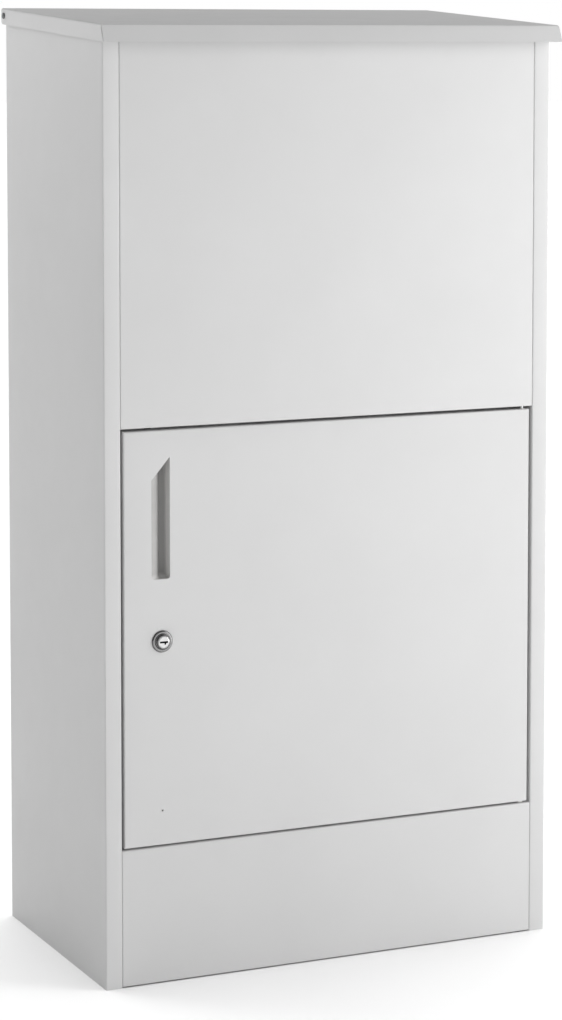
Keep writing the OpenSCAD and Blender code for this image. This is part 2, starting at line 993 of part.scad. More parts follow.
// Plug with its keyway level when unlocked, and a square tail for the cam
module lock_plug() {
    face = 5.2;
    edge = 0.4;
    key_depth = 11;
    key_w = 9;
    key_t = 1.8;
    notch_x = 0.4;
    notch_w = 1.9;
    notch_h = 2.8;
    color(chrome)
        in_lock_frame()
            difference() {
                union() {
                    rotate_extrude($fn = 64)
                        polygon([
                            [0, cam_front + gap],
                            [plug_r, cam_front + gap],
                            [plug_r, face - edge],
                            [plug_r - edge, face],
                            [0, face]
                        ]);
                    translate([-plug_tail / 2, -plug_tail / 2, cam_front - cam_t])
                        cube([plug_tail, plug_tail, cam_t + 2 * gap]);
                }
                translate([-key_w / 2, -key_t / 2, face - key_depth])
                    cube([key_w, key_t, key_depth + over]);
                translate([notch_x, -notch_h, face - key_depth])
                    cube([notch_w, notch_h, key_depth + over]);
                translate([0, 0, cam_front - cam_t - over])
                    cylinder(r = cam_screw_r, h = cam_screw_len + over + gap);
            }
}

module lock_cam() {
    cam_w = 16;
    color(zinc)
        in_lock_frame()
            translate([0, 0, cam_front - cam_t])
                linear_extrude(cam_t)
                    difference() {
                        bar([0, 0], [0, -cam_reach + cam_w / 2], cam_w);
                        square(plug_tail, center = true);
                    }
}

module cam_screw() {
    head_r = 4.6;
    head_h = 2.6;
    color(zinc)
        in_lock_frame()
            translate([0, 0, cam_front - cam_t]) {
                translate([0, 0, -head_h])
                    cylinder(r = head_r, h = head_h);
                cylinder(r = cam_screw_r, h = cam_screw_len);
            }
}

side_panel_left();
side_panel_right();
back_panel();
base_panel();
upper_front_panel();
plinth_panel();
panel_rivets();
cabinet_screws();
lid_shell();
lid_stiffener();
lid_link_tabs();
lid_pivot_pins();
lid_pivot_spacers();
lid_pivot_nuts();
lid_buffers();
link_pins_upper();
link_rod_left();
link_rod_right();
link_pins_lower();
drop_tray();
tray_crank_arms();
tray_rivets();
tray_hinge_brackets();
tray_pivot_pins();
tray_pin_clips();
tray_buffers();
door_skin();
door_stiffener();
door_hinge_pins();
door_hinge_blocks();
door_buffers();
handle_cup();
lock_body();
lock_nut();
lock_plug();
lock_cam();
cam_screw();
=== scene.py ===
"""Looks for the parcel drop box: powder-coated sheet steel, a chrome cam lock and a moulded finger pull.

Everything is in metres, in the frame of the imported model: +X right, +Y to the rear, +Z up.
"""
import math

import bmesh
import bpy
from mathutils import Matrix, Vector
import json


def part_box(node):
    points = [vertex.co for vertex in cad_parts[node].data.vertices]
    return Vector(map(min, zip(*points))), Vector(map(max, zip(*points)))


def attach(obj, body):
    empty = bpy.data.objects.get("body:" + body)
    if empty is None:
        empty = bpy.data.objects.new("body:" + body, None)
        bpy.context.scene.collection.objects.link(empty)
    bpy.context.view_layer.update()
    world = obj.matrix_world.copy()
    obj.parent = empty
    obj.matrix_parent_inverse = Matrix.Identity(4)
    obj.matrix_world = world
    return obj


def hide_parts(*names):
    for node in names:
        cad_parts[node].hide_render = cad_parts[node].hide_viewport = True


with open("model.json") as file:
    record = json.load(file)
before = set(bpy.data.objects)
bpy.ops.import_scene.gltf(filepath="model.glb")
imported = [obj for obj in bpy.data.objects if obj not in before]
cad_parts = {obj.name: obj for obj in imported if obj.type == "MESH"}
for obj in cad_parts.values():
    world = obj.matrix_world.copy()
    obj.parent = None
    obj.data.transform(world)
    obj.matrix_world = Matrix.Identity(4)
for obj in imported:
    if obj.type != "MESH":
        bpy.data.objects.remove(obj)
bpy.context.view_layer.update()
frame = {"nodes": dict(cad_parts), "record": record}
nodes = frame["nodes"]
record = frame["record"]
scene = bpy.context.scene
MM = 0.001
WELD = 1e-6
SHARP_ANGLE = math.radians(32)
BODY_OF = {node: body for body, group in record["behaviour"]["bodies"].items() for node in group}
SLOT_OF = {part["node"]: part["material_slot"] for part in record["subparts"]}
DOOR_FACE_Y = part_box("door_skin")[0].y


# ---- Camera, light and floor ----

CAMERA_PLACE = (-1.322, -2.903, 0.963)
CAMERA_YAW = 24.59        # degrees from +Y towards +X
CAMERA_PITCH = -4.3       # degrees, negative looks down
CAMERA_LENS = 104.56      # mm on a 36 mm sensor
CAMERA_SHIFT = -0.24      # keeps the upright edges nearly parallel

# Wide glows of the studio's surround: the way each one lies, and how bright it is
WORLD_GLOWS = [
    ((-0.2, -1, 0.2), 0.72),
    ((0, 1, 0.2), 0.84),
    ((0, 0.2, 1), 0.4),
    ((1, 0, 0.1), 1.25),
]
GLOW_FALLOFF = 3

# Softboxes: name, place, target, width and height, and power
SOFTBOXES = [
    ("key_light", (1.05, -1.0, 0.8), (0.15, -0.14, 0.6), (0.6, 1.6), 9.5),
    ("fill_light", (0.45, -1.6, 0.6), (-0.1, -0.14, 0.5), (0.8, 0.8), 0.9),
    ("side_light", (-0.95, 0.75, 1.25), (-0.25, 0.1, 0.8), (0.5, 0.6), 3.0),
]

FLOOR_RADIUS = 45
WASH_STRENGTH = 2.15
WASH_SPREAD = 120         # degrees across
WASH_TILT = -22           # degrees; below 0 the light comes from behind and the shadow falls forward


def make_camera():
    data = bpy.data.cameras.new("camera")
    data.lens = CAMERA_LENS
    data.sensor_width = 36
    data.shift_y = CAMERA_SHIFT
    data.clip_start = 0.05
    data.clip_end = 100
    camera = bpy.data.objects.new("camera", data)
    camera.location = CAMERA_PLACE
    camera.rotation_euler = (math.radians(90 + CAMERA_PITCH), 0, math.radians(-CAMERA_YAW))
    scene.collection.objects.link(camera)
    scene.camera = camera


def aim(obj, target):
    obj.rotation_mode = "QUATERNION"
    obj.rotation_quaternion = (Vector(target) - obj.location).to_track_quat("-Z", "Y")


def softbox(name, place, target, size, power):
    data = bpy.data.lights.new(name, "AREA")
    data.shape = "RECTANGLE"
    data.size, data.size_y = size
    data.energy = power
    light = bpy.data.objects.new(name, data)
    light.location = place
    aim(light, target)
    scene.collection.objects.link(light)


def make_world():
    """White to the camera; for the light, dark with wide soft glows in front, behind, above and right."""
    world = bpy.data.worlds.new("studio")
    world.use_nodes = True
    tree = world.node_tree
    tree.nodes.clear()

    def worked_out(operation, first, second):
        node = tree.nodes.new("ShaderNodeMath")
        node.operation = operation
        for socket, value in zip(node.inputs, (first, second)):
            if isinstance(value, (int, float)):
                socket.default_value = value
            else:
                tree.links.new(value, socket)
        return node.outputs[0]

    coords = tree.nodes.new("ShaderNodeTexCoord")
    total = 0.0
    for way, strength in WORLD_GLOWS:
        towards = tree.nodes.new("ShaderNodeVectorMath")
        towards.operation = "DOT_PRODUCT"
        towards.inputs[1].default_value = Vector(way).normalized()
        tree.links.new(coords.outputs["Generated"], towards.inputs[0])
        facing = worked_out("MAXIMUM", towards.outputs["Value"], 0.0)
        glow = worked_out("POWER", facing, GLOW_FALLOFF)
        total = worked_out("ADD", worked_out("MULTIPLY", glow, strength), total)
    lit = tree.nodes.new("ShaderNodeBackground")
    tree.links.new(total, lit.inputs["Strength"])
    seen = tree.nodes.new("ShaderNodeBackground")
    for background in (lit, seen):
        background.inputs["Color"].default_value = (1, 1, 1, 1)
    path = tree.nodes.new("ShaderNodeLightPath")
    mix = tree.nodes.new("ShaderNodeMixShader")
    tree.links.new(path.outputs["Is Camera Ray"], mix.inputs[0])
    tree.links.new(lit.outputs[0], mix.inputs[1])
    tree.links.new(seen.outputs[0], mix.inputs[2])
    out = tree.nodes.new("ShaderNodeOutputWorld")
    tree.links.new(mix.outputs[0], out.inputs["Surface"])
    scene.world = world


def make_floor():
    bm = bmesh.new()
    bmesh.ops.create_circle(bm, cap_ends=True, segments=96, radius=FLOOR_RADIUS)
    floor = mesh_object("floor", bm)
    floor.data.materials.append(floor_paint())
    return floor


def make_floor_wash(floor):
    """A wide sun that lights only the floor, so that it is white away from the object's shadow."""
    data = bpy.data.lights.new("floor_wash", "SUN")
    data.energy = WASH_STRENGTH
    data.angle = math.radians(WASH_SPREAD)
    light = bpy.data.objects.new("floor_wash", data)
    light.rotation_euler.x = math.radians(WASH_TILT)
    scene.collection.objects.link(light)
    lit = bpy.data.collections.new("lit_by_floor_wash")
    lit.objects.link(floor)
    light.light_linking.receiver_collection = lit


# ---- Mesh helpers ----

def mesh_object(name, bm):
    mesh = bpy.data.meshes.new(name)
    bm.normal_update()
    bm.to_mesh(mesh)
    bm.free()
    obj = bpy.data.objects.new(name, mesh)
    scene.collection.objects.link(obj)
    return obj


def turns(steps):
    return [math.tau * i / steps for i in range(steps)]


def frame_at(place, way):
    """A matrix whose origin is the place and whose +Z points along the way."""
    turn = Vector(way).to_track_quat("Z", "Y").to_matrix().to_4x4()
    return Matrix.Translation(place) @ turn


def ring(base, radius, height, steps=64):
    """A circle of points; a radius of 0 gives the single point that closes an end."""
    if radius == 0:
        return [base @ Vector((0, 0, height))]
    return [base @ Vector((radius * math.cos(a), radius * math.sin(a), height)) for a in turns(steps)]


def arc(centre, radius, start, end, steps=6):
    """Points (radius, height) along an arc of a profile, with its angles in degrees."""
    angles = [math.radians(start + (end - start) * i / steps) for i in range(steps + 1)]
    return [(centre[0] + radius * math.cos(a), centre[1] + radius * math.sin(a)) for a in angles]


def loft(bm, loops, closed=False):
    """Joins loops of points with faces; "closed" joins the last loop to the first."""
    rows = [[bm.verts.new(point) for point in loop] for loop in loops]
    pairs = list(zip(rows, rows[1:]))
    if closed:
        pairs.append((rows[-1], rows[0]))
    for near, far in pairs:
        count = max(len(near), len(far))
        for i in range(count):
            j = (i + 1) % count
            corners = [near[i % len(near)], near[j % len(near)], far[j % len(far)], far[i % len(far)]]
            bm.faces.new(list(dict.fromkeys(corners)))
    return rows


def turned(bm, base, profile, steps=64):
    """A solid of revolution from a profile of (radius, height) pairs."""
    return loft(bm, [ring(base, radius, height, steps) for radius, height in profile])


def fill_between(bm, *rows):
    """Flat faces between an outline and the holes in it."""
    edges = []
    for row in rows:
        for near, far in zip(row, row[1:] + row[:1]):
            edges.append(bm.edges.get((near, far)) or bm.edges.new((near, far)))
    bmesh.ops.triangle_fill(bm, use_beauty=True, use_dissolve=False, edges=edges)


def rounded(corners, radii, steps=5):
    """Points of a polygon whose corners are rounded to the given radii."""
    points = []
    count = len(corners)
    for i in range(count):
        corner = Vector(corners[i])
        back = (Vector(corners[i - 1]) - corner).normalized()
        ahead = (Vector(corners[(i + 1) % count]) - corner).normalized()
        half = back.angle(ahead) / 2
        centre = corner + (back + ahead).normalized() * radii[i] / math.sin(half)
        start = corner + back * radii[i] / math.tan(half) - centre
        sweep = math.copysign(math.pi - 2 * half, ahead.cross(back))
        for k in range(steps + 1):
            points.append(centre + Matrix.Rotation(sweep * k / steps, 2) @ start)
    return points


def solids(node):
    """The lowest and highest corner of each separate solid in a CAD node."""
    bm = bmesh.new()
    bm.from_mesh(nodes[node].data)
    bmesh.ops.remove_doubles(bm, verts=bm.verts, dist=WELD)
    waiting = set(bm.verts)
    boxes = []
    while waiting:
        island = {min(waiting, key=lambda vert: tuple(vert.co))}
        edge_of_island = list(island)
        while edge_of_island:
            vert = edge_of_island.pop()
            for edge in vert.link_edges:
                other = edge.other_vert(vert)
                if other not in island:
                    island.add(other)
                    edge_of_island.append(other)
        waiting -= island
        places = [vert.co for vert in island]
        lowest = Vector([min(place[axis] for place in places) for axis in range(3)])
        highest = Vector([max(place[axis] for place in places) for axis in range(3)])
        boxes.append((lowest, highest))
    bm.free()
    return boxes


def stand_for(node, name, bm, material=None):
    """Turns the mesh into a piece that rides where its CAD node rides, and shows in its place."""
    bmesh.ops.recalc_face_normals(bm, faces=bm.faces)
    for face in bm.faces:
        face.smooth = True
    piece = mesh_object(name, bm)
    piece.data.set_sharp_from_angle(angle=SHARP_ANGLE)
    piece.data.materials.append(material or MATERIALS[SLOT_OF[node]])
    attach(piece, BODY_OF[node])
    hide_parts(node)
    return piece


# ---- Materials ----

def grey(level, tint=(1, 1, 1)):
    """Linear colour of an sRGB grey level from 0 to 255, times a tint."""
    s = level / 255
    linear = ((s + 0.055) / 1.055) ** 2.4
    return tuple(linear * t for t in tint) + (1,)


class Finish:
    """A Principled material whose colour, roughness and bump come from noise in object coordinates."""

    def __init__(self, name, **constants):
        self.material = bpy.data.materials.new(name)
        self.material.use_nodes = True
        self.tree = self.material.node_tree
        self.shader = self.tree.nodes["Principled BSDF"]
        for socket, value in constants.items():
            self.shader.inputs[socket.replace("_", " ")].default_value = value
        coords = self.tree.nodes.new("ShaderNodeTexCoord")
        self.place = coords.outputs["Object"]

    def node(self, kind, links=(), **values):
        made = self.tree.nodes.new(kind)
        for socket, value in values.items():
            made.inputs[socket.replace("_", " ")].default_value = value
        for socket, source in links:
            self.tree.links.new(source, made.inputs[socket])
        return made

    def noise(self, scale, detail=2, stretch=None):
        place = self.place
        if stretch:
            place = self.node("ShaderNodeMapping", [("Vector", place)], Scale=stretch).outputs[0]
        made = self.node("ShaderNodeTexNoise", [("Vector", place)], Scale=scale, Detail=detail)
        return made.outputs["Fac"]

    def spread(self, source, low, high, start=0.3, end=0.7):
        """Goes from "low" to "high" while the source goes from "start" to "end"."""
        return self.node("ShaderNodeMapRange", [("Value", source)], **{
            "From Min": start, "From Max": end, "To Min": low, "To Max": high}).outputs[0]

    def blend(self, amount, low, high):
        mix = self.tree.nodes.new("ShaderNodeMix")
        mix.data_type = "RGBA"
        for socket, value in ((mix.inputs[6], low), (mix.inputs[7], high)):
            if isinstance(value, tuple):
                socket.default_value = value
            else:
                self.tree.links.new(value, socket)
        self.tree.links.new(amount, mix.inputs[0])
        return mix.outputs[2]

    def colour(self, source):
        self.tree.links.new(source, self.shader.inputs["Base Color"])

    def roughness(self, source):
        self.tree.links.new(source, self.shader.inputs["Roughness"])

    def bump(self, source, height, strength=1.0):
        made = self.node("ShaderNodeBump", [("Height", source)], Strength=strength, Distance=height)
        self.tree.links.new(made.outputs[0], self.shader.inputs["Normal"])


COOL = (0.99, 1, 1.01)
WARM = (1.01, 1, 0.985)
CREAM = (1, 1, 0.96)
NEUTRAL = (1, 1, 1)
CHROME_LEVEL = 146
PLUG_LEVEL = 222
KEYWAY_SHADE_LEVEL = 24
DARK_RIM_REFLECTION_LEVEL = 100
PULL_LEVEL = 174


def floor_paint():
    paint = Finish("floor_paint")
    paint.colour(paint.blend(paint.spread(paint.noise(scale=3), 0, 1), grey(246), grey(249)))
    paint.roughness(paint.spread(paint.noise(scale=9), 0.8, 0.9))
    return paint.material


def powder_coat(name, level):
    """Satin powder coat: faint cloudy tone and a fine orange-peel surface."""
    paint = Finish(name, IOR=1.5)
    cloud = paint.spread(paint.noise(scale=7, detail=3), 0, 1)
    paint.colour(paint.blend(cloud, grey(level - 1.5), grey(level + 1.5)))
    paint.roughness(paint.spread(paint.noise(scale=40, detail=4), 0.42, 0.5))
    paint.bump(paint.noise(scale=900, detail=1), height=0.04 * MM, strength=0.6)
    return paint.material


def zinc_plate(name, level, rough):
    """Blue-white zinc plating with faint rolling marks."""
    metal = Finish(name, Metallic=1.0)
    cloud = metal.spread(metal.noise(scale=60, detail=4), 0, 1)
    metal.colour(metal.blend(cloud, grey(level - 8, COOL), grey(level + 6, COOL)))
    marks = metal.noise(scale=220, detail=3, stretch=(1, 1, 0.15))
    metal.roughness(metal.spread(marks, rough - 0.06, rough + 0.08))
    metal.bump(metal.noise(scale=1500, detail=2), height=0.01 * MM, strength=0.5)
    return metal.material


def chrome(name, level, dark_from=None, rim=None):
    """Polished plating.

    "dark_from" is how far back, along Y, the painted shade inside a keyway begins, where the tone goes
    dark and the surface rough.
    "rim" is (centre, start, end): the stretch out from an axis along Y over which the tone darkens, a
    painted reflection of dark surroundings.
    """
    metal = Finish(name, Metallic=1.0)
    cloud = metal.spread(metal.noise(scale=300, detail=2), 0, 1)
    shine = metal.blend(cloud, grey(level - 4), grey(level + 4))
    rough = metal.spread(metal.noise(scale=900, detail=3), 0.06, 0.11)
    # Darker towards the outer edge: a painted reflection of dark surroundings
    if rim is not None:
        centre, start, end = rim
        across = metal.node("ShaderNodeMapping", [("Vector", metal.place)],
                            Location=(-centre.x, 0, -centre.z), Scale=(1, 0, 1))
        away = metal.node("ShaderNodeVectorMath", [(0, across.outputs[0])])
        away.operation = "LENGTH"
        darker = metal.spread(away.outputs["Value"], 0, 1, start, end)
        shine = metal.blend(darker, shine, grey(DARK_RIM_REFLECTION_LEVEL))
    # Dark tone deep in the keyway: painted shade
    if dark_from is not None:
        place = metal.node("ShaderNodeSeparateXYZ", [("Vector", metal.place)]).outputs["Y"]
        dark_by = dark_from + 0.4 * MM
        shine = metal.blend(metal.spread(place, 0, 1, dark_from, dark_by), shine, grey(KEYWAY_SHADE_LEVEL))
        rough = metal.spread(place, 0.09, 0.7, dark_from, dark_by)
    metal.colour(shine)
    metal.roughness(rough)
    return metal.material


def plastic(name, level, tint, rough, painted_light_zones=()):
    """Moulded plastic with a fine spark-eroded grain.

    A zone is (axis, start, end, level): the stretch along the axis over which the tone goes to that level,
    painting light or shade into the colour.
    """
    made = Finish(name, IOR=1.46)
    cloud = made.spread(made.noise(scale=90, detail=3), 0, 1)
    tone = made.blend(cloud, grey(level - 3, tint), grey(level + 3, tint))
    # Each zone blends the tone towards its level: painted light or painted shade
    for axis, start, end, painted_level in painted_light_zones:
        place = made.node("ShaderNodeSeparateXYZ", [("Vector", made.place)]).outputs[axis]
        tone = made.blend(made.spread(place, 0, 1, start, end), tone, grey(painted_level, tint))
    made.colour(tone)
    made.roughness(made.spread(made.noise(scale=500, detail=2), rough - 0.05, rough + 0.05))
    made.bump(made.noise(scale=2200, detail=1), height=0.02 * MM, strength=0.5)
    return made.material


# One material for each slot of the record; the finger pull and the lock's pieces have variants of theirs
MATERIALS = {
    "powder_coat": powder_coat("powder_coat", 206),
    "inner_coat": powder_coat("inner_coat", 198),
    "zinc_steel": zinc_plate("zinc_steel", 190, 0.34),
    "pivot_steel": zinc_plate("pivot_steel", 142, 0.6),
    "lock_chrome": chrome("lock_chrome", CHROME_LEVEL),
    "grey_plastic": plastic("grey_plastic", 184, WARM, 0.5),
    "nylon": plastic("nylon", 225, CREAM, 0.45),
    "rubber": plastic("rubber", 42, NEUTRAL, 0.7),
}


# ---- CAD sheet metal, with its edges softened ----

EDGE_ROUND = 0.22 * MM
FLAT_ANGLE = math.radians(0.5)


def smooth_shading():
    """Node group: plain normals, smooth over the bends and sharp at the cut edges."""
    group = bpy.data.node_groups.new("smooth_over_bends", "GeometryNodeTree")
    group.interface.new_socket("Geometry", in_out="INPUT", socket_type="NodeSocketGeometry")
    group.interface.new_socket("Geometry", in_out="OUTPUT", socket_type="NodeSocketGeometry")
    start = group.nodes.new("NodeGroupInput")
    plain = group.nodes.new("GeometryNodeRemoveAttribute")
    plain.inputs["Name"].default_value = "custom_normal"
    group.links.new(start.outputs[0], plain.inputs["Geometry"])
    faces = group.nodes.new("GeometryNodeSetShadeSmooth")
    faces.domain = "FACE"
    group.links.new(plain.outputs[0], faces.inputs["Geometry"])
    angle = group.nodes.new("GeometryNodeInputMeshEdgeAngle")
    bend = group.nodes.new("FunctionNodeCompare")
    bend.operation = "LESS_THAN"
    bend.inputs[1].default_value = SHARP_ANGLE
    group.links.new(angle.outputs["Unsigned Angle"], bend.inputs[0])
    edges = group.nodes.new("GeometryNodeSetShadeSmooth")
    edges.domain = "EDGE"
    group.links.new(faces.outputs[0], edges.inputs["Geometry"])
    group.links.new(bend.outputs[0], edges.inputs["Shade Smooth"])
    end = group.nodes.new("NodeGroupOutput")
    group.links.new(edges.outputs[0], end.inputs[0])
    return group


def finish_cad_nodes():
    """Each CAD node keeps its shape and gets its slot's material, with softened edges."""
    shading = smooth_shading()
    for name, obj in nodes.items():
        for slot in obj.material_slots:
            slot.material = MATERIALS[SLOT_OF[name]]
        weld = obj.modifiers.new("weld", "WELD")
        weld.merge_threshold = WELD
        flat = obj.modifiers.new("flat_faces", "DECIMATE")
        flat.decimate_type = "DISSOLVE"
        flat.angle_limit = FLAT_ANGLE
        obj.modifiers.new("shading", "NODES").node_group = shading
        soften = obj.modifiers.new("edges", "BEVEL")
        soften.width = EDGE_ROUND
        soften.segments = 2
        soften.limit_method = "ANGLE"
        soften.angle_limit = SHARP_ANGLE
        soften.use_clamp_overlap = True
        soften.harden_normals = True


# ---- Finger pull ----

CUP_FLANGE = 5 * MM
CUP_FLANGE_T = 1.5 * MM
CUP_WALL = 2 * MM
CUP_SLOPE_W = 13.5 * MM
CUP_SLOPE_CURVE = 0.5           # 1 is a straight slope; less starts shallow and ends steep
CUP_TOP_RISE = 23.5 / 20.2      # the slanted top edge's rise over its run
CUP_CORNER = 3 * MM
CUP_OUTER_CORNER = 4 * MM
CUP_FLANGE_CORNER = 6 * MM
CUP_TIP = 0.8 * MM              # radius at the ends of the slanted edge
CUP_CORNER_SHARE = 0.42         # the most that a corner takes of the outline's width
CUP_FILLET = 2.2 * MM           # round the edge of the well's floor
CUP_FILLET_LESS = 0.5           # the share of it left out on the slope's side
WELL_STEPS = 24
FILLET_STEPS = 8


def make_handle_cup():
    """Moulded recess: a long slope on the left, a floor, and a straight wall on the right."""
    low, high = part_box("handle_cup")
    x0 = low.x + CUP_FLANGE
    x1 = high.x - CUP_FLANGE
    z0 = low.z + CUP_FLANGE
    top = high.z - CUP_FLANGE * (1 + CUP_TOP_RISE)
    lean = math.hypot(1, CUP_TOP_RISE)
    floor_depth = high.y - low.y - CUP_WALL

    def outline(depth, out, left=0.0, corner=CUP_CORNER):
        """The opening's outline at a depth, moved out by "out" and with its left edge moved in."""
        near = x0 - out + left
        far = x1 + out
        upper = top + out * lean
        corners = [
            (near, z0 - out),
            (far, z0 - out),
            (far, upper + CUP_TOP_RISE * (far - x1)),
            (near, upper + CUP_TOP_RISE * (near - x1)),
        ]
        corner = min(corner, CUP_CORNER_SHARE * (far - near))
        tip = min(corner, CUP_TIP)
        return [Vector((x, low.y + depth, z)) for x, z in rounded(corners, [corner, corner, tip, tip])]

    def well(start, end, wall, corner):
        """Loops down the well's skin from one depth to another, with a filleted floor."""
        straight = end - CUP_FILLET - start
        loops = []
        for i in range(WELL_STEPS + 1):
            down = (i / WELL_STEPS) ** 2 * straight
            slope = CUP_SLOPE_W * (down / (end - start)) ** CUP_SLOPE_CURVE
            loops.append(outline(start + down, wall, slope, corner))
        for i in range(1, FILLET_STEPS + 1):
            turn = math.radians(90 * i / FILLET_STEPS)
            down = straight + CUP_FILLET * math.sin(turn)
            inset = CUP_FILLET * (1 - math.cos(turn))
            slope = CUP_SLOPE_W * (down / (end - start)) ** CUP_SLOPE_CURVE - CUP_FILLET_LESS * inset
            loops.append(outline(start + down, wall - inset, slope, corner))
        return loops

    edge = 0.4 * MM
    lip_depth = 0.3 * MM
    lip_out = 0.6 * MM
    skin_out = 0.25 * MM
    outer = well(CUP_FLANGE_T, floor_depth + CUP_WALL, CUP_WALL, CUP_OUTER_CORNER)
    inner = well(lip_depth, floor_depth, skin_out, CUP_CORNER)
    flange = [
        outline(CUP_FLANGE_T, CUP_FLANGE - edge, corner=CUP_FLANGE_CORNER),
        outline(CUP_FLANGE_T - edge, CUP_FLANGE, corner=CUP_FLANGE_CORNER),
        outline(0, CUP_FLANGE, corner=CUP_FLANGE_CORNER),
        outline(0, lip_out),
    ]
    bm = bmesh.new()
    rows = loft(bm, outer[::-1] + flange + inner)
    bm.faces.new(rows[0])
    bm.faces.new(rows[-1])
    # Painted light and shade: lighter towards the right wall (painted light), darker towards the floor
    # (painted shade) and lighter again towards the foot (painted light)
    painted_light_zones = [
        ("X", x1 - 2.5 * MM, x1 - 0.5 * MM, 216),
        ("Y", low.y + 0.8 * floor_depth, low.y + floor_depth, 145),
        ("Z", z0 + 5 * MM, z0 + 0.5 * MM, 205),
    ]
    matt = plastic("finger_pull_plastic_painted_light", PULL_LEVEL, WARM, 0.5, painted_light_zones)
    stand_for("handle_cup", "finger_pull_moulding", bm, matt)


# ---- Lock ----

LOCK_STEPS = 96
BARREL_R = 9 * MM
PLUG_R = 6 * MM
BEZEL_R = 11.4 * MM
BEAD_R = 9.2 * MM
BEAD_H = 2 * MM
BOSS_R = 6.8 * MM
RUN_FIT = 0.05 * MM
THREAD_PITCH = 1.2 * MM
THREAD_DEPTH = 0.45 * MM
THREAD_LOOPS = 8                # loops in one pitch
KEY_DEPTH = 11 * MM
TAIL_HALF = 3.5 * MM

# The keyway's outline as (right, up) and the radii of its corners, in millimetres
KEYWAY = [
    (-4.5, -0.9), (0.4, -0.9), (0.7, -2.8), (1.7, -2.8), (2.7, -0.9), (4.5, -0.9), (4.5, 0.9), (-4.5, 0.9),
]
KEYWAY_RADII = [0.3, 0.2, 0.2, 0.2, 0.2, 0.3, 0.3, 0.3]
KEYWAY_MIDDLE = Vector((0, -0.1))


def lock_frame():
    """The lock's own frame: its origin on the door's face, +Z to the front and +X to the right."""
    low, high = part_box("lock_body")
    centre = (low + high) / 2
    return Matrix.Translation((centre.x, DOOR_FACE_Y, centre.z)) @ Matrix.Rotation(math.pi / 2, 4, "X")


def thread_loops(base, start, end):
    """Loops of a screw thread between two heights."""
    steps = round((end - start) / THREAD_PITCH * THREAD_LOOPS)
    loops = []
    for i in range(steps + 1):
        height = start + (end - start) * i / steps
        loop = []
        for a in turns(LOCK_STEPS):
            phase = (height / THREAD_PITCH - a / math.tau) % 1
            radius = BARREL_R - THREAD_DEPTH * (1 - abs(2 * phase - 1))
            loop.append(base @ Vector((radius * math.cos(a), radius * math.sin(a), height)))
        loops.append(loop)
    return loops


def make_lock_body(base):
    """Chromed bead and boss on a threaded barrel."""
    low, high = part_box("lock_body")
    back = DOOR_FACE_Y - high.y
    front = DOOR_FACE_Y - low.y
    bore_r = PLUG_R + RUN_FIT
    lead_in = 0.8 * MM
    thread_end = -1.6 * MM
    neck_end = -1.2 * MM
    bezel_edge = 0.1 * MM
    boss_edge = 0.35 * MM
    bore_edge = 0.15 * MM
    head = [(BARREL_R, neck_end), (BARREL_R, 0), (BEZEL_R - bezel_edge, 0)]
    for a in range(6, 145, 6):
        turn = math.radians(a)
        head.append((BEAD_R + (BEZEL_R - BEAD_R) * math.cos(turn), BEAD_H * math.sin(turn)))
    # The small hollow where the boss rises out of the bead
    head += [(BOSS_R + 0.35 * MM, 0.85 * MM), (BOSS_R + 0.1 * MM, 1.0 * MM), (BOSS_R, 1.3 * MM)]
    head += arc((BOSS_R - boss_edge, front - boss_edge), boss_edge, 0, 90, 5)
    head += [(bore_r + bore_edge, front), (bore_r, front - bore_edge), (bore_r, back)]
    loops = [ring(base, BARREL_R - THREAD_DEPTH, back, LOCK_STEPS)]
    loops += thread_loops(base, back + lead_in, thread_end)
    loops += [ring(base, radius, height, LOCK_STEPS) for radius, height in head]
    bm = bmesh.new()
    loft(bm, loops, closed=True)
    # The bead is painted darker towards its outer edge: a painted reflection of dark surroundings
    rim = (base.translation, BEZEL_R - 1.5 * MM, BEZEL_R - 0.5 * MM)
    plating = chrome("bezel_chrome", CHROME_LEVEL, rim=rim)
    stand_for("lock_body", "lock_barrel_and_bezel", bm, plating)


def make_lock_plug(base):
    """Turning plug: a rim, a fine groove, the keyway and the square tail for the cam."""
    low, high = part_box("lock_plug")
    face = DOOR_FACE_Y - low.y
    tail_end = DOOR_FACE_Y - high.y
    tail_start = DOOR_FACE_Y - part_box("lock_cam")[0].y + 0.3 * MM

    def key_loop(grow, height):
        outline = rounded(KEYWAY, KEYWAY_RADII, 3)
        spots = [((point - KEYWAY_MIDDLE) * grow + KEYWAY_MIDDLE) * MM for point in outline]
        return [base @ Vector((spot.x, spot.y, height)) for spot in spots]

    rim = 0.5 * MM
    groove_r = 5.2 * MM
    groove_bottom = face - 0.12 * MM
    sides = [
        (PLUG_R, tail_start),
        (PLUG_R, face - rim),
        (PLUG_R - 0.3 * rim, face - 0.3 * rim),
        (PLUG_R - rim, face),
        (groove_r + 0.2 * MM, face),
        (groove_r + 0.1 * MM, groove_bottom),
        (groove_r - 0.1 * MM, groove_bottom),
        (groove_r - 0.2 * MM, face),
    ]
    mouth_grow = 1.03
    mouth_depth = 0.15 * MM
    bm = bmesh.new()
    body = turned(bm, base, sides)
    slot = loft(bm, [
        key_loop(mouth_grow, face), key_loop(1, face - mouth_depth), key_loop(1, face - KEY_DEPTH)])
    fill_between(bm, body[-1], slot[0])
    bm.faces.new(slot[-1])
    edge = 0.4 * MM

    def tail_loop(inset, height):
        half = TAIL_HALF - inset
        points = rounded([(-half, -half), (half, -half), (half, half), (-half, half)], [edge] * 4)
        return [base @ Vector((p.x, p.y, height)) for p in points]

    block = loft(bm, [tail_loop(0, tail_start), tail_loop(0, tail_end + edge), tail_loop(edge, tail_end)])
    fill_between(bm, body[0], block[0])
    bm.faces.new(block[-1])
    # The keyway is painted dark from 0.3 mm behind the face: painted shade
    plating = chrome("plug_chrome", PLUG_LEVEL, dark_from=low.y + 0.3 * MM)
    stand_for("lock_plug", "lock_plug_with_keyway", bm, plating)


# ---- Nuts ----

LID_PIN_R = 2.5 * MM
NUT_COLLAR = 0.9 * MM


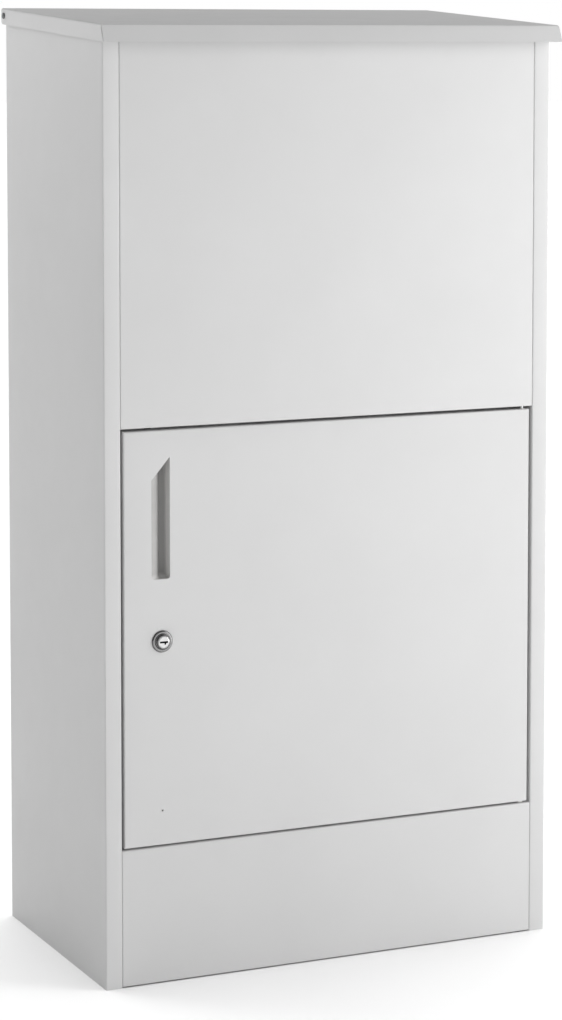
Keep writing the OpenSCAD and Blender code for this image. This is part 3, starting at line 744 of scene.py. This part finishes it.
def hex_nut(bm, base, corner, height, bore, collar=0.0):
    """Hexagon nut with chamfered corners, and a round collar on top if one is asked for."""
    steps = 96
    flat = corner * math.cos(math.radians(30))
    chamfer_r = 0.97 * flat
    slope = math.tan(math.radians(30))
    nudge = 1e-6    # keeps the angle at a corner from falling on either side by chance

    def side(top, sign):
        loop = []
        for a in turns(steps):
            turn = math.fmod(math.degrees(a) + nudge, 60) - 30
            radius = flat / math.cos(math.radians(turn))
            level = top - sign * (radius - chamfer_r) * slope
            loop.append(base @ Vector((radius * math.cos(a), radius * math.sin(a), level)))
        return loop

    hex_top = height - collar
    loops = [ring(base, bore, 0, steps), ring(base, chamfer_r, 0, steps), side(0, -1), side(hex_top, 1)]
    loops.append(ring(base, chamfer_r, hex_top, steps))
    if collar:
        crown = 0.6 * collar
        for radius, level in arc((0.8 * chamfer_r, height - crown), crown, 0, 90, 4):
            loops.append(ring(base, radius, level, steps))
    loops.append(ring(base, bore, height, steps))
    loft(bm, loops, closed=True)


def make_lock_nut(base):
    low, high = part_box("lock_nut")
    behind = base @ Matrix.Translation((0, 0, DOOR_FACE_Y - low.y)) @ Matrix.Rotation(math.pi, 4, "X")
    bm = bmesh.new()
    hex_nut(bm, behind, (high.x - low.x) / 2, high.y - low.y, BARREL_R)
    stand_for("lock_nut", "lock_hex_nut", bm)


def make_pivot_nuts():
    """Nuts on the lid's pivot pins, with their collars towards the middle of the cabinet."""
    bm = bmesh.new()
    for low, high in solids("lid_pivot_nuts"):
        centre = (low + high) / 2
        inwards = -math.copysign(1, centre.x)
        outer_x = high.x if centre.x > 0 else low.x
        way = frame_at((outer_x, centre.y, centre.z), (inwards, 0, 0))
        spin = Matrix.Rotation(angle_of_corner(way), 4, "Z")
        hex_nut(bm, way @ spin, (high.y - low.y) / 2, high.x - low.x, LID_PIN_R, NUT_COLLAR)
    stand_for("lid_pivot_nuts", "lid_pivot_lock_nuts", bm)


def angle_of_corner(way):
    """How far to turn about the frame's +Z so that its +X points along the cabinet's +Y."""
    local = way.to_3x3().inverted() @ Vector((0, 1, 0))
    return math.atan2(local.y, local.x)


# ---- Rivets, screws, pins and buffers ----

# Blind rivets by node: the piece's name, the head's height, and the bulge's radius and height, 0 for none
RIVETS = {
    "panel_rivets": ("front_panel_blind_rivets", 1.2 * MM, 2.8 * MM, 2 * MM),
    "tray_rivets": ("tray_blind_rivets", 1.4 * MM, 0, 0),
}
RIVET_R = 2 * MM
SCREW_R = 2 * MM
SCREW_HEAD_H = 2.4 * MM
CAM_SCREW_R = 1.5 * MM
CAM_SCREW_HEAD_H = 2.6 * MM
LID_PIN_HEAD_H = 2.3 * MM

# The way in which the nose of each node's buffers points
BUFFER_WAYS = {
    "lid_buffers": (0, 0, 1),
    "door_buffers": (0, -1, 0),
    "tray_buffers": (0, -1, 0),
}


def blind_rivet(bm, base, head_r, head_h, end, bulge_r, bulge_h):
    """Domed blind rivet with the broken mandrel sunk in its head; its head lies towards +Z."""
    hole_r = 0.34 * head_r
    sunk = 0.45 * head_h
    brim = 0.25 * head_h
    dome = [
        (head_r * math.cos(math.radians(a)), brim + (head_h - brim) * math.sin(math.radians(a)))
        for a in range(0, 66, 13)
    ]
    profile = [(0, sunk), (0.9 * hole_r, sunk), (hole_r, 0.97 * dome[-1][1])]
    profile += dome[::-1] + [(head_r, 0), (RIVET_R, 0)]
    if bulge_h:
        start = end + bulge_h
        profile += [(RIVET_R, start), (0.92 * bulge_r, start), (bulge_r, start - 0.3 * bulge_h)]
        profile += [(0.9 * bulge_r, end + 0.25 * bulge_h), (0.55 * bulge_r, end), (0, end)]
    else:
        edge = 0.2 * MM
        profile += [(RIVET_R, end + edge), (RIVET_R - edge, end), (0, end)]
    turned(bm, base, profile, 40)


def cross_loop(base, reach, height, steps):
    """Outline of a Phillips recess, with arms as wide as the steps can show exactly."""
    width = reach * math.tan(math.radians(15))
    tiny = 1e-6
    loop = []
    for a in turns(steps):
        across = max(abs(math.cos(a)), tiny)
        along = max(abs(math.sin(a)), tiny)
        level = min(reach / across, width / along)
        upright = min(width / across, reach / along)
        radius = max(level, upright)
        loop.append(base @ Vector((radius * math.cos(a), radius * math.sin(a), height)))
    return loop


def pan_screw(bm, base, head_r, head_h, shank_r, end):
    """Pan-head screw with a Phillips recess; its head lies towards +Z."""
    steps = 48
    reach = 0.56 * head_r
    flat_r = 0.62 * head_r
    wall_h = 0.4 * head_h
    foot = 0.1 * head_h
    point = 0.3 * MM
    loops = [
        [base @ Vector((0, 0, 0.12 * head_h))],
        cross_loop(base, 0.45 * reach, 0.3 * head_h, steps),
        cross_loop(base, reach, 0.99 * head_h, steps),
    ]
    for a in range(75, -1, -15):
        turn = math.radians(a)
        radius = flat_r + (head_r - flat_r) * math.cos(turn)
        loops.append(ring(base, radius, wall_h + (head_h - wall_h) * math.sin(turn), steps))
    below = [(head_r, foot), (head_r - foot, 0), (shank_r, 0)]
    below += [(shank_r, end + point), (shank_r - point, end)]
    loops += [ring(base, radius, height, steps) for radius, height in below]
    loops.append([base @ Vector((0, 0, end))])
    loft(bm, loops)


def make_rivets():
    """Heads face the middle of the cabinet."""
    for node, (name, head_h, bulge_r, bulge_h) in RIVETS.items():
        bm = bmesh.new()
        for low, high in solids(node):
            centre = (low + high) / 2
            inwards = -math.copysign(1, centre.x)
            inner_x = low.x if centre.x > 0 else high.x
            base = frame_at((inner_x - inwards * head_h, centre.y, centre.z), (inwards, 0, 0))
            end = head_h - (high.x - low.x)
            blind_rivet(bm, base, (high.z - low.z) / 2, head_h, end, bulge_r, bulge_h)
        stand_for(node, name, bm)


def make_screws():
    bm = bmesh.new()
    for low, high in solids("cabinet_screws"):
        centre = (low + high) / 2
        way = frame_at((centre.x, low.y + SCREW_HEAD_H, centre.z), (0, -1, 0))
        pan_screw(bm, way, (high.z - low.z) / 2, SCREW_HEAD_H, SCREW_R, SCREW_HEAD_H - (high.y - low.y))
    stand_for("cabinet_screws", "back_panel_screws", bm)

    bm = bmesh.new()
    low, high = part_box("cam_screw")
    centre = (low + high) / 2
    way = frame_at((centre.x, high.y - CAM_SCREW_HEAD_H, centre.z), (0, 1, 0))
    end = CAM_SCREW_HEAD_H - (high.y - low.y)
    pan_screw(bm, way, (high.z - low.z) / 2, CAM_SCREW_HEAD_H, CAM_SCREW_R, end)
    stand_for("cam_screw", "lock_cam_screw", bm)


def make_lid_pivots():
    """Pins with smooth domed heads outside the lid's skirts."""
    point = 0.4 * MM
    foot = 0.2 * MM
    brim = 0.6 * MM
    bm = bmesh.new()
    for low, high in solids("lid_pivot_pins"):
        centre = (low + high) / 2
        outwards = math.copysign(1, centre.x)
        outer_x = high.x if centre.x > 0 else low.x
        head_r = (high.z - low.z) / 2
        base = frame_at((outer_x - outwards * LID_PIN_HEAD_H, centre.y, centre.z), (outwards, 0, 0))
        end = LID_PIN_HEAD_H - (high.x - low.x)
        profile = [(0, end), (LID_PIN_R - point, end), (LID_PIN_R, end + point), (LID_PIN_R, 0)]
        profile += [(head_r - foot, 0), (head_r, foot)]
        for a in range(0, 90, 15):
            turn = math.radians(a)
            profile.append((head_r * math.cos(turn), brim + (LID_PIN_HEAD_H - brim) * math.sin(turn)))
        profile.append((0, LID_PIN_HEAD_H))
        turned(bm, base, profile, 48)
    stand_for("lid_pivot_pins", "lid_pivot_pins_domed", bm)


def make_buffers():
    """Rubber buffers with a rounded nose, and a ridge round the foot that is pushed in."""
    for node, way in BUFFER_WAYS.items():
        bm = bmesh.new()
        axis = Vector(way)
        for low, high in solids(node):
            size = high - low
            height = abs(size.dot(axis))
            radius = size.x / 2
            neck_r = 0.93 * radius
            nose = 0.35 * height
            base = frame_at((low + high) / 2 - axis * height / 2, way)
            profile = [(0, 0), (radius, 0), (radius, 0.2 * height), (neck_r, 0.3 * height)]
            profile.append((neck_r, height - nose))
            profile += arc((neck_r - nose, height - nose), nose, 15, 90, 5)
            profile.append((0, height))
            turned(bm, base, profile, 40)
        stand_for(node, node + "_moulded", bm)


finish_cad_nodes()
make_handle_cup()
lock_base = lock_frame()
make_lock_body(lock_base)
make_lock_plug(lock_base)
make_lock_nut(lock_base)
make_pivot_nuts()
make_rivets()
make_screws()
make_lid_pivots()
make_buffers()
make_camera()
make_world()
make_floor_wash(make_floor())
for setting in SOFTBOXES:
    softbox(*setting)
scene.view_settings.view_transform = "Standard"
